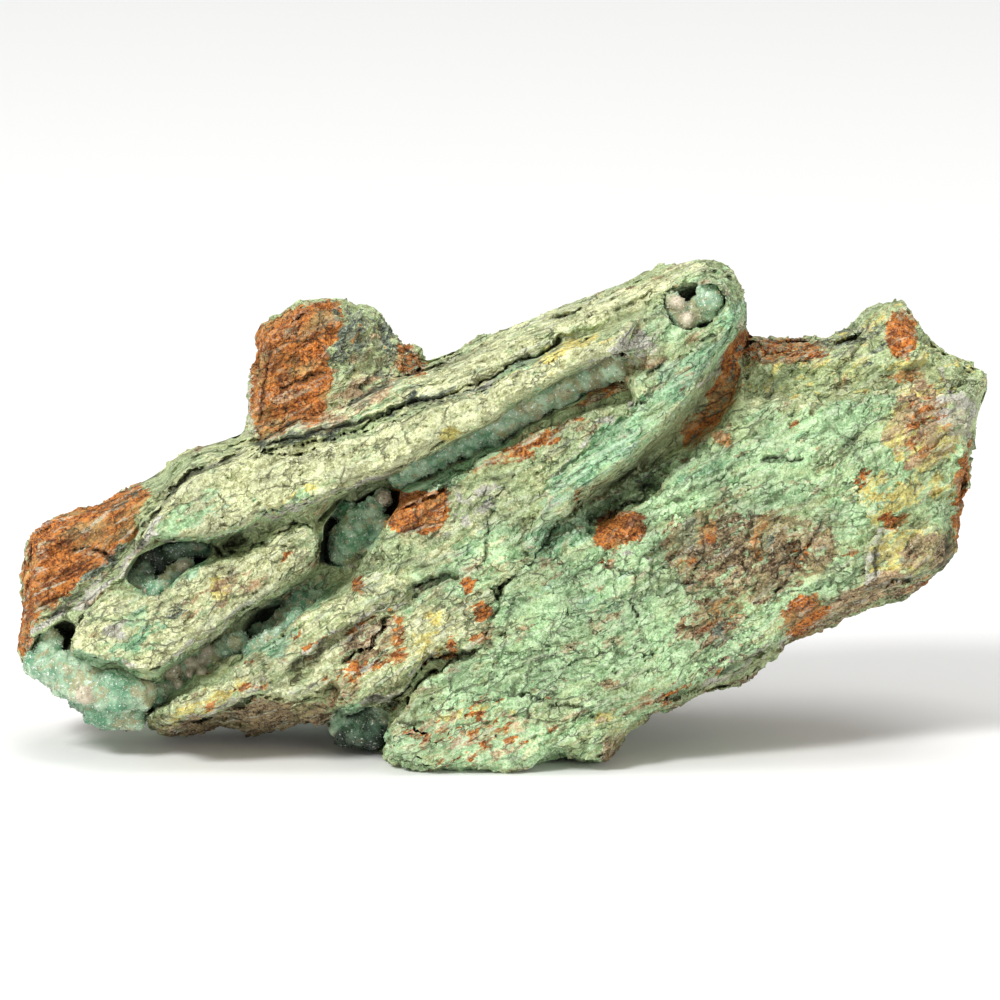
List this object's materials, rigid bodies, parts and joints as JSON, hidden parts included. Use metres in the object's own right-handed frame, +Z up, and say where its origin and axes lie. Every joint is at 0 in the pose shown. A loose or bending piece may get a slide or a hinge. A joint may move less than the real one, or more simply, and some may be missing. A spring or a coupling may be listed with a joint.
{
  "type": "green moonstone cluster",
  "caption": "Elongated rough stone of slanting sage-green and rust-brown layers, standing on its long edge, with hollows and seams lined with blue-green druse.",
  "frame": {"origin": "middle of the bounding box at the level of the flat foot that the stone rests on", "axes": "+X along the stone's length to the viewer's right, +Y away from the viewer through its thickness, +Z up"},
  "size_m": [0.1594, 0.0595, 0.0797],
  "materials": {
    "rock": "matte weathered rock, sage green with rust-brown patches",
    "druse": "glassy blue-green druse"
  },
  "bodies": {
    "root": {"stone": "rock", "upper_left_druse": "druse", "middle_druse": "druse", "lower_druse": "druse", "left_end_druse": "druse", "spar_tip_druse": "druse", "spar_seam_druse": "druse", "foot_druse": "druse"}
  },
  "joints": []
}
